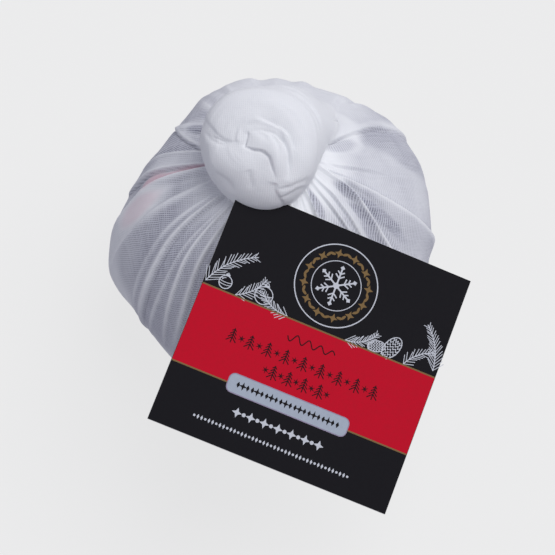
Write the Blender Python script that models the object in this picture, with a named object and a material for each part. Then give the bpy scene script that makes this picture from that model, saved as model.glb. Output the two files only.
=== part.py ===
"""Christmas pudding tied in its muslin cloth, with a square card label.

One square of muslin is drawn up around a ball of pudding. Its pleats spread from a
narrow neck over the shoulders, and its twisted tail is coiled on top into a bun. A
stiff card lies on the front shoulder, one corner held under the bun.

Metres, +Z up. The origin is the middle of the flat spot that the pudding stands on,
and -Y is the side that the card leans out over. Around the ball, an azimuth of 0
degrees is the front, 90 is the right (+X) and -90 the left, and a polar angle is
counted from straight up.
"""

import math
import random

import bmesh
import bpy
from mathutils import Matrix, Vector

MM = 0.001

# The ball
BALL_RADIUS = 48.6 * MM  # at the widest ring, under the folds
BALL_RISE = 46.5 * MM  # from the widest ring to where the ball would close
BALL_CENTRE = Vector((0, 0, 42 * MM))  # the middle of the widest ring
BASE_RADIUS = 26 * MM  # the flat spot
RING_STEPS = 120  # around
PROFILE_STEPS = 30  # from neck to base

# The gathered neck, a short cone that ends inside the bun
NECK_RADIUS = 10.6 * MM  # where it leaves the shoulders
NECK_FOOT = 86 * MM
NECK_TOP_RADIUS = 5.5 * MM
NECK_TOP = 93.5 * MM
NECK_OFFSET = Vector((4.0 * MM, -2.0 * MM, 0))  # it stands right of the middle
NECK_SOFTNESS = 3.0 * MM  # how widely the neck flares into the shoulders

# Where the wrapped ball is hollow or full: azimuth, height angle above the widest ring,
# spread in degrees, depth
SWELLS = (
    (-126, 12, 26, -2.6 * MM),  # flat of the left back shoulder
    (-107, 8, 15, -3.8 * MM),
    (-60, -22, 22, -4.6 * MM),  # tapered left front underside
    (-80, -6, 14, 2.0 * MM),  # full left side
    (180, 34, 26, 1.8 * MM),  # full back shoulder
    (122, 16, 22, 3.0 * MM),  # full right back shoulder
    (35, -35, 30, -1.5 * MM),
)

# Long folds: azimuth at the neck, azimuth and polar angle where the fold dies away,
# height, and the side of its crest that falls steeply (1 towards larger azimuths)
LONG_FOLDS = (
    (-152, -160, 80, 1.7 * MM, 1),
    (-110, -123, 70, 2.0 * MM, -1),
    (-97, -94, 84, 2.0 * MM, 1),
    (-86, -73, 98, 2.4 * MM, 1),
    (-63, -50, 100, 2.0 * MM, -1),
    (-52, -38, 104, 1.9 * MM, -1),
    (-42, -30, 92, 1.4 * MM, 1),
    (-16, -10, 84, 1.4 * MM, -1),
    (14, 18, 88, 1.3 * MM, 1),
    (52, 38, 74, 1.3 * MM, 1),
    (72, 50, 84, 1.7 * MM, 1),
    (80, 73, 98, 2.1 * MM, -1),
    (98, 88, 104, 1.5 * MM, 1),
    (112, 124, 86, 2.3 * MM, 1),
    (146, 152, 80, 1.6 * MM, -1),
    (172, 168, 72, 1.5 * MM, 1),
)
SMALL_PLEATS = 22
PLEAT_SEED = 12
STEEP_SIDE = 2.2 * MM
GENTLE_SIDE = 7.5 * MM

# The bun: the way its axis points, where its spiral starts, and the route of the
# twisted tail in the bun's own plane (right, up, out along the axis, thickness radius),
# from the tucked-in end outwards to where it goes down into the neck
BUN_AXIS = Vector((-0.10, -0.46, 0.88)).normalized()
BUN_START = Vector((-6.4 * MM, -5.8 * MM, 100.6 * MM))
TAIL_ROUTE = (
    (-2.6, 0.4, -5.0, 2.6),
    (-0.6, 2.2, -0.8, 3.6),
    (5.2, 3.3, 1.2, 4.5),
    (9.2, -0.4, 1.0, 4.3),
    (9.3, -5.6, 0.0, 4.8),
    (3.6, -9.2, -1.0, 7.0),
    (-3.4, -6.8, -1.0, 6.8),
    (-6.8, 0.2, -0.6, 6.0),
    (-5.6, 7.2, -0.8, 5.6),
    (0.6, 11.4, -1.2, 5.4),
    (9.0, 10.4, -2.0, 5.3),
    (14.8, 4.4, -3.6, 5.6),
    (14.2, -0.6, -6.8, 6.8),
    (11.2, -1.8, -11.0, 8.8),
    (9.0, -2.4, -16.0, 10.0),
    (8.4, -4.4, -22.0, 10.0),
)
BUN_CORE = (10.5, 11.0, 7.5)  # half sizes of the cloth wound up in its middle
BUN_CORE_MIDDLE = (3.2, 1.4, -7.0)  # in the bun's own plane
TAIL_SIDES = 18
TAIL_STEPS = 4  # rings between one route point and the next
TAIL_STRANDS = 5  # pleats twisted around each other in the tail
STRAND_DEPTH = 0.07  # of the tail's radius
STRAND_PITCH = 85 * MM  # one turn of the twist

# The card label
CARD_SIDE = 70 * MM
CARD_THICKNESS = 0.7 * MM
CARD_MIDDLE = Vector((11.7 * MM, -52.1 * MM, 71.5 * MM))
CARD_FACING = Vector((0.149, -0.364, 0.919)).normalized()
CARD_TURN = math.radians(-22.2)  # about its own middle, clockwise as seen from above
CARD_GAP = 0.3 * MM  # all round, where cloth holds it
CARD_ROOM = 12 * MM  # how deep the bun is cut away under it


def blend(low, high, value):
    """0 up to low, 1 from high on, and a smooth rise between them."""
    share = min(max((value - low) / (high - low), 0.0), 1.0)
    return share * share * (3 - 2 * share)


def turn_between(angle, other):
    """The signed turn from other to angle, in degrees."""
    return (angle - other + 180) % 360 - 180


def direction(azimuth, polar):
    """The unit vector from the ball's middle at this azimuth and polar angle."""
    around, down = math.radians(azimuth), math.radians(polar)
    return Vector(
        (
            math.sin(down) * math.sin(around),
            -math.sin(down) * math.cos(around),
            math.cos(down),
        )
    )


def small_pleats():
    """Short folds at uneven distances all round the neck, in the form of LONG_FOLDS."""
    dice = random.Random(PLEAT_SEED)
    pleats = []
    for i in range(SMALL_PLEATS):
        start = 360 * (i + dice.uniform(-0.3, 0.3)) / SMALL_PLEATS
        end = start + dice.uniform(-7, 7)
        pleats.append(
            (start, end, dice.uniform(38, 62), dice.uniform(0.5, 1.1) * MM, dice.choice((-1, 1)))
        )
    return tuple(pleats)


FOLDS = LONG_FOLDS + small_pleats()


def fold_height(azimuth, polar):
    """How far the folds lift the cloth here: each has a steep and a gentle side."""
    height = 0.0
    for start, end, fade, lift, steep in FOLDS:
        crest = start + (end - start) * blend(15, fade, polar)
        across = math.radians(turn_between(azimuth, crest)) * math.sin(math.radians(polar))
        distance = across * BALL_RADIUS * steep
        width = STEEP_SIDE if distance > 0 else GENTLE_SIDE
        width *= 0.35 + 0.65 * blend(10, 60, polar)
        shape = math.exp(-((distance / width) ** 2))
        crease = math.exp(-(((distance - 1.5 * width) / width) ** 2)) if distance > 0 else 0
        along = (0.4 + 0.6 * blend(11, 26, polar)) * (1 - blend(fade - 32, fade, polar))
        height += lift * along * (shape - 0.4 * crease)
    return height


def swell(azimuth, polar):
    """How far the ball is fuller or flatter here than a round one."""
    here = direction(azimuth, polar)
    total = 0.0
    for around, above, spread, depth in SWELLS:
        away = here.angle(direction(around, 90 - above))
        total += depth * math.exp(-((away / math.radians(spread)) ** 2))
    return total


def ball_reach(polar):
    """Distance from the ball's middle to its smooth surface at this polar angle."""
    down = math.radians(polar)
    if polar > 90:
        low = math.hypot(BASE_RADIUS, BALL_CENTRE.z)
        return BALL_RADIUS + (low - BALL_RADIUS) * blend(90, base_polar(), polar)
    return 1 / math.hypot(math.sin(down) / BALL_RADIUS, math.cos(down) / BALL_RISE)


def base_polar():
    """The polar angle of the flat spot's edge."""
    return 180 - math.degrees(math.atan2(BASE_RADIUS, BALL_CENTRE.z))


def neck_polar():
    """The polar angle of the top of the neck."""
    return math.degrees(math.atan2(NECK_TOP_RADIUS, NECK_TOP - BALL_CENTRE.z))


def neck_reach(polar):
    """Distance from the ball's middle to the neck's cone at this polar angle."""
    down = math.radians(polar)
    narrowing = (NECK_RADIUS - NECK_TOP_RADIUS) / (NECK_TOP - NECK_FOOT)
    at_middle = NECK_RADIUS + narrowing * (NECK_FOOT - BALL_CENTRE.z)
    return at_middle / (math.sin(down) + narrowing * math.cos(down))


def cloth_point(azimuth, polar):
    """A point of the wrapped surface, from the top of the neck to the flat spot."""
    ball = ball_reach(polar) + swell(azimuth, polar)
    reach = ball
    if polar < 70:
        neck = neck_reach(polar)
        reach = neck + NECK_SOFTNESS * math.log1p(math.exp((ball - neck) / NECK_SOFTNESS))
    reach += fold_height(azimuth, polar)
    base_reach = math.hypot(BASE_RADIUS, BALL_CENTRE.z)
    reach += (base_reach - reach) * blend(base_polar() - 36, base_polar(), polar)
    point = direction(azimuth, polar) * reach
    return BALL_CENTRE + point + NECK_OFFSET * (1 - blend(12, 50, polar))


def closed_tube(rings):
    """A closed skin over rings of points, each ring in order, with a flat end at both ends."""
    mesh = bmesh.new()
    loops = [[mesh.verts.new(point) for point in ring] for ring in rings]
    for upper, lower in zip(loops, loops[1:]):
        for i, corner in enumerate(upper):
            beside = (i + 1) % len(upper)
            mesh.faces.new((corner, lower[i], lower[beside], upper[beside]))
    mesh.faces.new(loops[0])
    mesh.faces.new(reversed(loops[-1]))
    bmesh.ops.recalc_face_normals(mesh, faces=mesh.faces)
    return mesh


def add_object(name, mesh):
    """A named object in the scene, made from the given bmesh."""
    data = bpy.data.meshes.new(name)
    mesh.to_mesh(data)
    mesh.free()
    data.shade_smooth()
    made = bpy.data.objects.new(name, data)
    bpy.context.scene.collection.objects.link(made)
    return made


def wrapped_ball():
    """The cloth over the ball, its folds and the neck."""
    top, base = neck_polar(), base_polar()
    rings = []
    for step in range(PROFILE_STEPS + 1):
        share = step / PROFILE_STEPS
        polar = top + (base - top) * share**1.15
        ring = [cloth_point(360 * i / RING_STEPS, polar) for i in range(RING_STEPS)]
        if step == PROFILE_STEPS:
            for point in ring:
                point.z = 0.0
        rings.append(ring)
    return add_object("wrapped_pudding", closed_tube(rings))


def smooth_route(points, steps):
    """Points on a smooth curve through the given ones, each with its radius."""
    padded = (points[0],) + tuple(points) + (points[-1],)
    route = []
    for before, start, end, after in zip(padded, padded[1:], padded[2:], padded[3:]):
        for step in range(steps):
            t = step / steps
            route.append(
                [
                    0.5 * (2 * b + (c - a) * t + (2 * a - 5 * b + 4 * c - d) * t**2
                           + (3 * b - a - 3 * c + d) * t**3)
                    for a, b, c, d in zip(before, start, end, after)
                ]
            )
    route.append(list(points[-1]))
    return [(Vector(p[:3]) * MM, p[3] * MM) for p in route]


def bun_frame():
    """Turns the bun's own plane into place: its x runs to the right, its z along the axis."""
    right = Vector((1, 0, 0)) - BUN_AXIS * BUN_AXIS.x
    right.normalize()
    turned = Matrix((right, BUN_AXIS.cross(right), BUN_AXIS)).transposed()
    return Matrix.Translation(BUN_START) @ turned.to_4x4()


def coiled_tail():
    """The twisted tail of the cloth, coiled into the bun."""
    route = smooth_route(TAIL_ROUTE, TAIL_STEPS)
    place = bun_frame()
    rings = []
    side = Vector((0, 0, 1))
    travelled = 0.0
    for i, (middle, radius) in enumerate(route):
        ahead = route[min(i + 1, len(route) - 1)][0] - route[max(i - 1, 0)][0]
        ahead.normalize()
        side = (side - ahead * side.dot(ahead)).normalized()
        other = ahead.cross(side)
        if i:
            travelled += (middle - route[i - 1][0]).length
        ring = []
        for corner in range(TAIL_SIDES):
            angle = 2 * math.pi * corner / TAIL_SIDES
            twist = TAIL_STRANDS * (angle + 2 * math.pi * travelled / STRAND_PITCH)
            reach = radius * (1 + STRAND_DEPTH * math.cos(twist))
            ring.append(place @ (middle + (side * math.cos(angle) + other * math.sin(angle)) * reach))
        rings.append(ring)
    return add_object("coiled_tail", closed_tube(rings))


def bun_core():
    """The cloth hidden in the middle of the coil, which leaves no hollow under it."""
    mesh = bmesh.new()
    size = Matrix.Diagonal((*BUN_CORE, 1)) * MM
    size[3][3] = 1
    place = bun_frame() @ Matrix.Translation(Vector(BUN_CORE_MIDDLE) * MM) @ size
    bmesh.ops.create_uvsphere(mesh, u_segments=20, v_segments=12, radius=1, matrix=place)
    return add_object("bun_core", mesh)


def card_frame():
    """The card's place: its x runs along its top edge, its z out of its printed face."""
    right = Vector((1, 0, 0)) - CARD_FACING * CARD_FACING.x
    right.normalize()
    turned = Matrix((right, CARD_FACING.cross(right), CARD_FACING)).transposed()
    return Matrix.Translation(CARD_MIDDLE) @ turned.to_4x4() @ Matrix.Rotation(CARD_TURN, 4, "Z")


def square_plate(name, side, top, bottom, place):
    """A flat square plate in the given place, between two heights along its facing."""
    mesh = bmesh.new()
    middle = Matrix.Translation((0, 0, (top + bottom) / 2))
    size = Matrix.Diagonal((side, side, top - bottom, 1))
    bmesh.ops.create_cube(mesh, size=1, matrix=place @ middle @ size)
    return add_object(name, mesh)


def resting_place(ball):
    """The card's place, moved along its facing until it clears the cloth under it by the gap."""
    place = card_frame()
    to_card = place.inverted()
    half = CARD_SIDE / 2
    under = [to_card @ v.co for v in ball.data.vertices]
    under = [p.z for p in under if abs(p.x) < half and abs(p.y) < half and p.z < 12 * MM]
    lift = max(under) + CARD_GAP + CARD_THICKNESS / 2
    return Matrix.Translation(CARD_FACING * lift) @ place


def boolean(target, other, operation):
    """Joins other to target, or cuts it out, and keeps other as a hidden helper."""
    step = target.modifiers.new(other.name, "BOOLEAN")
    step.object = other
    step.operation = operation
    step.solver = "EXACT"
    step.use_self = True
    other.hide_render = True
    other.display_type = "WIRE"


def finish(target, name, colour, roughness):
    """Gives the object its own plain material."""
    material = bpy.data.materials.new(name)
    material.use_nodes = True
    shader = material.node_tree.nodes["Principled BSDF"]
    shader.inputs["Base Color"].default_value = (*colour, 1)
    shader.inputs["Roughness"].default_value = roughness
    shader.inputs["Metallic"].default_value = 0.0
    target.data.materials.append(material)


def main():
    for old in list(bpy.data.objects):
        bpy.data.objects.remove(old)
    pudding = wrapped_ball()
    tail = coiled_tail()
    place = resting_place(pudding)
    half = CARD_THICKNESS / 2
    card = square_plate("label_card", CARD_SIDE, half, -half, place)
    room = square_plate(
        "room_for_card", CARD_SIDE + 2 * CARD_GAP, half + CARD_GAP, -CARD_ROOM, place
    )
    boolean(tail, room, "DIFFERENCE")
    boolean(pudding, tail, "UNION")
    boolean(pudding, bun_core(), "UNION")
    finish(pudding, "muslin", (0.66, 0.67, 0.74), 0.9)
    finish(card, "printed_card", (0.02, 0.018, 0.02), 0.45)
    card.data.set_sharp_from_angle(angle=math.radians(30))


main()
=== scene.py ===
"""A small Christmas pudding tied in its muslin, with a square card label: the look of it.

Lengths are in metres, angles in degrees. Around the ball an azimuth of 0 is the front,
90 the right and -90 the left, and a polar angle is counted from straight up.
"""

import itertools
import math
import random

import bpy
import numpy as np
from mathutils import Matrix, Vector
from mathutils.bvhtree import BVHTree


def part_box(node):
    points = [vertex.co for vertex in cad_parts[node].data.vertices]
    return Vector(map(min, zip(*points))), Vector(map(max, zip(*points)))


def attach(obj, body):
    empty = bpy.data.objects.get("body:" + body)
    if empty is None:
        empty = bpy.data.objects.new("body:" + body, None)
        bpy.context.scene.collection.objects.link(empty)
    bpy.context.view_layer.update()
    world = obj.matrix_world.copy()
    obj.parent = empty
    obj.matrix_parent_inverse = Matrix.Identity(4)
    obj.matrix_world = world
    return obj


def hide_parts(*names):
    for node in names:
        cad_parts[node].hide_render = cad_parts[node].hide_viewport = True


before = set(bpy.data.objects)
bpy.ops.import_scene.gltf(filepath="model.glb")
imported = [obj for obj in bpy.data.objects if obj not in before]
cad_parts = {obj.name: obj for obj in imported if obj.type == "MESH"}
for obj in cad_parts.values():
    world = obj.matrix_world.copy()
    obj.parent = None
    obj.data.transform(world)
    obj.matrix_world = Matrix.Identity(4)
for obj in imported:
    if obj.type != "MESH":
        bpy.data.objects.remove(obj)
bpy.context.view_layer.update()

MM = 0.001

# ---------------------------------------------------------------- the wrapped ball
BALL_RADIUS = 48.6 * MM  # at the widest ring, under the folds
BALL_RISE = 46.5 * MM  # from the widest ring to where the ball would close
BALL_HEIGHT = 42 * MM  # of the widest ring above the ground
BASE_RADIUS = 26 * MM  # the flat spot
NECK_RADIUS = 10.6 * MM  # where the neck leaves the shoulders
NECK_FOOT = 86 * MM
NECK_TOP_RADIUS = 5.5 * MM
NECK_TOP = 93.5 * MM
NECK_OFFSET = (4.0 * MM, -2.0 * MM, 0)  # the neck stands right of the middle
NECK_LEAN = (12, 50)  # the polar angles over which that offset dies away
NECK_END = 70  # the polar angle beyond which there is only the ball
NECK_SOFTNESS = 3.0 * MM  # how softly it runs out into the shoulders
BASE_BLEND = 36  # degrees above the flat spot over which the folds run out

CLOTH_AROUND = 640  # faces
CLOTH_DOWN = 152
CLOTH_CROWDING = 1.15  # above 1, the faces lie closer together towards the neck

# Where the ball is hollow or full: azimuth, height angle, spread, millimetres
SWELLS = (
    (-129, 23, 19, -5.0),
    (-120, 42, 14, -0.8),
    (-110, 9, 15, -5.6),
    (-60, -22, 22, -4.6),
    (-79, -9, 13, 2.7),
    (-93, 30, 10, -1.7),
    (-165, 34, 24, 1.6),
    (122, 16, 22, 3.0),
    (35, -35, 30, -1.5),
)

# The deep folds: azimuth of the crest high up, halfway and at the widest ring, where the
# fold dies away and, in millimetres, its height, the width of its gentle side, and that of
# its steep side, which lies towards larger azimuths if it is above 0
HIGH_UP, HALFWAY, WIDEST = 20, 45, 78
DEEP_FOLDS = (
    (-153, -159, -163, 80, 0.5, 7, 1.6),
    (-134, -144, -150, 66, 0.6, 5, -1.2),
    (-99, -123, -148, 74, 0.9, 6, 0.45),
    (-104, -106, -109, 70, 0.9, 3, -0.7),
    (-92, -96, -100, 86, 1.2, 3.2, 0.45),
    (-88, -87.5, -84, 94, 1.8, 4.5, -0.9),
    (-76, -73, -75, 98, 1.0, 5, -1.3),
    (-66, -61, -58, 104, 0.4, 1.8, 0.9),
    (-60.5, -55, -52.5, 106, 1.6, 2.6, 0.5),
    (-51, -47, -47, 102, 0.6, 1.4, 0.6),
    (-48.5, -43, -40, 98, 0.9, 1.6, 0.5),
    (-42, -36, -35, 94, 1.1, 2.2, 0.5),
    (-31, -30, -29, 90, 0.5, 1.6, -0.6),
    (-16, -13, -10, 84, 1.2, 5, -1.2),
    (14, 16, 18, 88, 1.2, 5, 1.2),
    (32, 32, 32, 74, 0.8, 3.5, -0.8),
    (47.5, 48, 48, 58, 0.8, 3, -0.5),
    (56, 52, 50, 68, 0.9, 3.5, -0.5),
    (71.5, 62.6, 58.5, 92, 1.6, 2.0, 1.0),
    (77, 79, 86, 122, 1.15, 3.8, 0.4),
    (90, 94, 98, 52, 0.8, 3.5, -0.6),
    (120, 122, 124, 96, 1.1, 9, -0.4),
    (140, 146, 146, 78, 0.9, 7, -1.6),
    (158, 163, 164, 72, 0.3, 6, -1.4),
    (180, 178, 176, 70, 0.3, 6, 1.4),
)
FOLD_SHARPNESS = 1.45  # 2 is a round crest, and less is keener
FOLD_COURSE = (12, 100)  # the polar angles beyond which its azimuth stays
FOLD_START = 0.35  # of its full width and height, where it leaves the neck
STEEP_START = 0.55  # of its steep side's width, which grows less
FOLD_WIDENS, FOLD_LIFTS = (10, 60), (11, 26)  # the polar angles over which it grows
FOLD_FADE = 34  # degrees over which it dies away
CREASE_DEPTH = 0.5  # of the fold's height
CREASE_ASIDE, CREASE_WIDTH = 1.8, 1.1  # from its crest and across, in widths of its steep side
DOUBLED_WIDTH = 0.45  # how far the cloth lies double, of its gentle side's width

# Gathers that run down from the neck: how many, where they die away and how unevenly and,
# in millimetres, the lowest and highest of them, and their width
GATHERS = (
    (58, 33, 9, 0.10, 0.45, 1.3),
    (37, 52, 14, 0.10, 0.45, 2.0),
    (23, 84, 20, 0.10, 0.50, 3.4),
    (17, 120, 16, 0.10, 0.40, 5.5),
)
GATHER_START, GATHER_WIDENS = 0.3, (10, 50)  # as FOLD_START and FOLD_WIDENS
GATHER_RISE = (6, 16)  # the polar angles over which it begins
GATHER_FADE = 0.6  # where it starts to die away, of where it has done so
GATHER_STEEP = 0.4  # its steep side, of its width
GATHER_SEED = 31

# Where the cloth lies in one single layer, and one fold's valley that is painted shade; where it
# lies in several, and the shaded left flank low down, painted light; and where a pink layer shows
# through: azimuth, polar angle, spread both ways, strength
THIN_AND_SHADED_PATCHES = (
    (115, 49, 9, 13, 0.75),
    (109, 59, 6, 14, 0.7),
    (113, 23, 7, 9, 0.5),
    (-109.5, 39, 4, 8, 0.9),
    (-124, 34, 5, 5, 0.9),
    (-66, 62, 9, 22, 0.6),
    (-49, 52, 4, 22, 0.5),
    (61, 37, 3, 9, 0.9),
    (57.5, 46, 3, 9, 0.9),
    # painted shade: this patch darkens the valley beside a deep fold's steep side, which lies in
    # shade
    (69.5, 45, 3.2, 15, 1.0),
    (36, 20, 5, 7, 0.9),
    (67, 26, 5, 7, 0.75),
)
THICK_AND_PAINTED_LIGHT_PATCHES = (
    (168, 30, 52, 42, 0.75),
    (95, 44, 24, 38, 0.45),
    (132, 26, 34, 16, 0.9),
    (56, 34, 5, 22, 0.6),
    (-126, 32, 10, 14, 0.6),
    (60, 60, 30, 30, 0.3),
    (0, 128, 400, 38, 0.6),
    # painted light: this patch and the next, and the one at azimuth -64, whiten the left flank low
    # down, which lies in shade
    (-76, 95, 19, 46, 0.85),
    (-88, 92, 13, 34, 0.5),
    (-82, 55, 9, 18, 0.9),
    (-92, 40, 6, 14, 0.45),
    (-100, 36, 6, 14, 0.45),
    (-64, 97, 13, 27, 0.4),
)
PINK_PATCHES = (
    (-91.2, 34, 2.2, 13, 0.9),
    (-91, 47, 4.2, 8, 1.0),
    (-81, 54, 4.5, 12, 0.5),
)
# Where there are fewer gathers: where the bun's flank runs out, and in front of it
CALM_PATCHES = (
    (140, 26, 62, 24, 1.0),
    (50, 18, 32, 14, 0.7),
)
PATCH_EDGE = (0.6, 1.25)  # where a patch's soft edge starts and ends, in its spreads
FOLD_WHITE = 0.8  # how much whiter the cloth is where a fold doubles it
NECK_WHITE = (14, 44)  # the polar angles over which the white of the gathered neck fades

THREAD_TURN = 0.82  # how far the threads lean over, as a share of the way round the ball
THREAD_SPREAD = (0.66, 1.6)  # how close they lie, both ways, where the cloth is stretched
STRETCHED_TO = 130  # as it is from the front round to this azimuth

# ---------------------------------------------------------------- the bun
BUN_AXIS = Vector((-0.10, -0.46, 0.88)).normalized()
BUN_START = Vector((-6.4 * MM, -5.8 * MM, 100.6 * MM))
# Below, millimetres in the bun's own plane: right, up, and out along the axis
BUN_MIDDLE = (3.1, 0.3, -6.5)
BUN_TOP, BUN_FOOT = 11.0, 15.0  # how far it reaches above and below that middle
# How wide it is at equal steps round the axis, from the right
BUN_RADII = (16.2, 16.8, 17.6, 17.5, 18.6, 18.0, 16.0, 15.2, 16.2, 17.1, 17.1, 16.4)
BUN_BLEND = 22  # degrees over which each of these counts
BUN_SQUARENESS = 2.8  # 2 is round, and more is fuller at the shoulder
# Where round the axis it is rounder than that, and reaches further down: the middle, how
# far round, and how much
BUN_UNDERSIDE = (262, 62, 0.8)
BUN_BACK = (62, 72, 11)
# Its flank runs out into the shoulder: the middle, to where fully and to where at all
BUN_SKIRT = (46, 10, 62)
SKIRT_REACH, SKIRT_FALL = 7, (68, 140)  # how far, and from and to which angle down
BUN_TIP, BUN_END = 0.02, 165  # where its skin starts, just off the axis, and how far it runs
BUN_AROUND = 420  # faces
BUN_DOWN = 200
RELIEF_FADE = (95, 125)  # the angles down over which creases and wrinkles die away
# The creases between the turns of the coil. Each: its route, the depth at its start and
# end, its width, how deeply the cloth rolls into it and how far, and how much higher the
# turn on its left stands
TURNS = (
    (((-13.4, 13.0), (-11.5, 8.5), (-9.3, 5.6), (-7.4, 3.5), (-5.2, 2.1), (-3, 1.7), (0.3, 1.7)),
     0.05, 0.2, 0.50, 0.2, 2.0, 0.18),
    (((-3.0, 0.9), (-6.2, 0.7), (-9.2, 2.0), (-11.2, 4.0), (-13.4, 7.4)),
     0.0, 0.15, 0.50, 0.15, 1.6, 0.18),
    (((1.0, 4.6), (0.5, 2.6), (0.1, 0.9), (0.2, -0.4)),
     0.3, 0.9, 0.40, 0.12, 1.6, 0.05),
    (((-0.3, 0.2), (2.4, -0.7), (4.9, -1.2), (6.5, -2.6), (7.2, -4.4), (7.9, -6.8), (8.8, -9.6)),
     0.9, 0.35, 0.38, 0.15, 1.4, 0.22),
    (((11.6, -9.4), (12.5, -5.3), (12.3, -1.4), (11.1, 1.4), (9, 3.4), (6.5, 4.6),
      (3.6, 4.8), (1, 4.2)),
     1.0, 0.3, 0.50, 0.8, 2.0, 0.1),
    (((2.6, 9.0), (6.8, 7.7), (9.9, 6.2), (12.2, 4.4), (13.3, 2.2), (13.8, -0.6), (14.0, -4)),
     0.6, 0.3, 0.60, 0.6, 2.0, -0.2),
    (((8.6, -9.6), (8.2, -11.6), (9.0, -13.4), (10.4, -16.4)),
     0.15, 0.25, 0.50, 0.2, 1.8, 0.2),
)
# Where a turn swells: along which route, how high and how wide
LOBES = (
    (((0.6, 2.2), (4.6, 1.8), (7.4, 0.2), (9.2, -2.8), (10.0, -8.0)), 0.7, 3.6),
    (((-12.0, -2.4), (-7.0, -3.6), (-1.0, -5.0), (5.0, -7.6)), 0.9, 4.6),
)
# Small pleats drawn in at the foot: the same values as for the turns
PLEATS = (
    (((1.3, -5.6), (1.6, -8.0), (2.0, -11.4)), 0.12, 0.1, 0.70, 0.12, 1.6, 0.10),
    (((-8.6, -6.0), (-6.4, -7.4), (-4.2, -9.6), (-3.4, -12.0)), 0.12, 0.1, 0.60, 0.15, 1.6, 0.10),
    (((8.4, -13.9), (12.1, -12.4), (17.6, -9.2)), 0.25, 0.15, 0.38, 0.15, 1.1, 0.10),
    (((8.6, -11.2), (12.6, -10.4), (18.2, -7.4)), 0.2, 0.15, 0.42, 0.15, 1.2, 0.10),
    (((-9.8, 3.6), (-6.9, 2.4), (-4.6, 1.4)), 0.15, 0.1, 0.34, 0.10, 0.9, 0.08),
)
# Fine wrinkles that run round with the coil: how many, half their length in degrees,
# their depth and width
WRINKLES = (
    (60, (10, 30), (0.03, 0.07), (0.7, 1.1)),
    (34, (22, 60), (0.06, 0.26), (1.2, 2.6)),
)
WRINKLE_STARTS, WRINKLE_SPIRALS = (14, 112), (-0.22, 0.06)  # angle down, and its change
WRINKLE_RISE = (4, 22)  # the angles down over which they begin
CALM_FOOT = (265, 40, 80)  # fewer at the foot: the middle, to where fully, to where at all
CALM_SHARE = 0.8
WRINKLE_SEED = 12
MELT_WIDE = 10 * MM  # how softly the bun's right flank runs into the shoulder
MELT_NARROW = 1.0 * MM  # and elsewhere
MELT_SIDE = (52, 24, 50)  # the flank: its middle, to where fully and to where at all
MELT_AXIS = 2 * MM  # that flank is seen from this far right of the axis
MELT_WITHIN = 40 * MM  # of the axis
MELT_BURIED = 2 * MM  # points that lie deeper inside the other skin stay

# ---------------------------------------------------------------- the card
CARD_SIDE = 70 * MM
CARD_THICKNESS = 0.7 * MM
CARD_FACING = Vector((0.152, -0.340, 0.919)).normalized()
CARD_TURN = -21.2
CARD_CUT = 0.10 * MM  # the softness of its edges
CARD_SHIFT = Vector((-0.3 * MM, -1.0 * MM, 0.5 * MM))  # where it lies once tipped a little

# ---------------------------------------------------------------- the view and its light
VIEW_HEIGHT = 60  # degrees above the ground
VIEW_DISTANCE = 560 * MM
VIEW_LENS, VIEW_SENSOR = 118.9, 36  # millimetres
VIEW_ASIDE = 2.15 * MM  # right of the ball's middle
VIEW_BELOW = 11.1 * MM
SUN_FROM = Vector((0.40, 0.04, 0.915))
SUN_STRENGTH = 1.85
SUN_WIDTH = 50  # degrees
SKY_COLOUR = (0.86, 0.87, 1.0, 1)
SKY_STRENGTH = 0.43
FLOOR_SIDE = 6  # metres
FLOOR_COLOUR = (0.12, 0.12, 0.12, 1)
FLOOR_GLOW = 0.725


# ================================================================ helpers
def rise(low, high, value):
    """0 up to low, 1 from high on, and a smooth rise between them."""
    share = np.clip((value - low) / (high - low), 0.0, 1.0)
    return share * share * (3 - 2 * share)


def bump(distance, width):
    """A round hump: 1 in its middle, and near 0 two widths away."""
    return np.exp(-((distance / width) ** 2))


def grown(share, low, high, value):
    """This share up to low, 1 from high on, and a smooth rise between them."""
    return share + (1 - share) * rise(low, high, value)


def lopsided(aside, steep, gentle, hump=bump):
    """A hump with its steep side where aside is above 0."""
    return np.where(aside > 0, hump(aside, steep), hump(aside, gentle))


def turn_between(angle, other):
    """The signed turn from other to angle, in degrees."""
    return (angle - other + 180) % 360 - 180


def around_middle(angle, middle, full, none):
    """1 up to full degrees from the middle angle, and 0 from none on."""
    return 1 - rise(full, none, np.abs(turn_between(angle, middle)))


def facing(way):
    """The turn that points z this way, with x as far to the right as it can be."""
    right = (Vector((1, 0, 0)) - way * way.x).normalized()
    return Matrix((right, way.cross(right), way)).transposed().to_4x4()


def moved(points, place):
    """The points, moved by the matrix place."""
    place = np.array(place)
    return points @ place[:3, :3].T + place[:3, 3]


def direction(azimuth, polar):
    """Unit vectors from the ball's middle."""
    around, down = np.radians(azimuth), np.radians(polar)
    return np.stack(
        (np.sin(down) * np.sin(around), -np.sin(down) * np.cos(around), np.cos(down)), axis=-1
    )


def get_points(piece):
    """The piece's points, one row each."""
    points = np.empty(len(piece.data.vertices) * 3)
    piece.data.vertices.foreach_get("co", points)
    return points.reshape(-1, 3)


def set_points(piece, points):
    """Moves the piece's points here."""
    piece.data.vertices.foreach_set("co", np.ascontiguousarray(points, float).ravel())
    piece.data.update()


def get_corners(piece):
    """Which point is at each corner of the piece's faces."""
    corners = np.empty(len(piece.data.loops), int)
    piece.data.loops.foreach_get("vertex_index", corners)
    return corners


def set_threads(piece, threads):
    """Keeps a place in the weave at each corner of the faces, in metres of cloth."""
    piece.data.uv_layers.active.data.foreach_set("uv", threads.ravel())


def set_mask(piece, name, values):
    """Keeps a value from 0 to 1 at each point of the piece, for its material to read."""
    mask = piece.data.attributes.new(name, "FLOAT", "POINT")
    mask.data.foreach_set("value", np.ascontiguousarray(values, np.float32))


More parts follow.
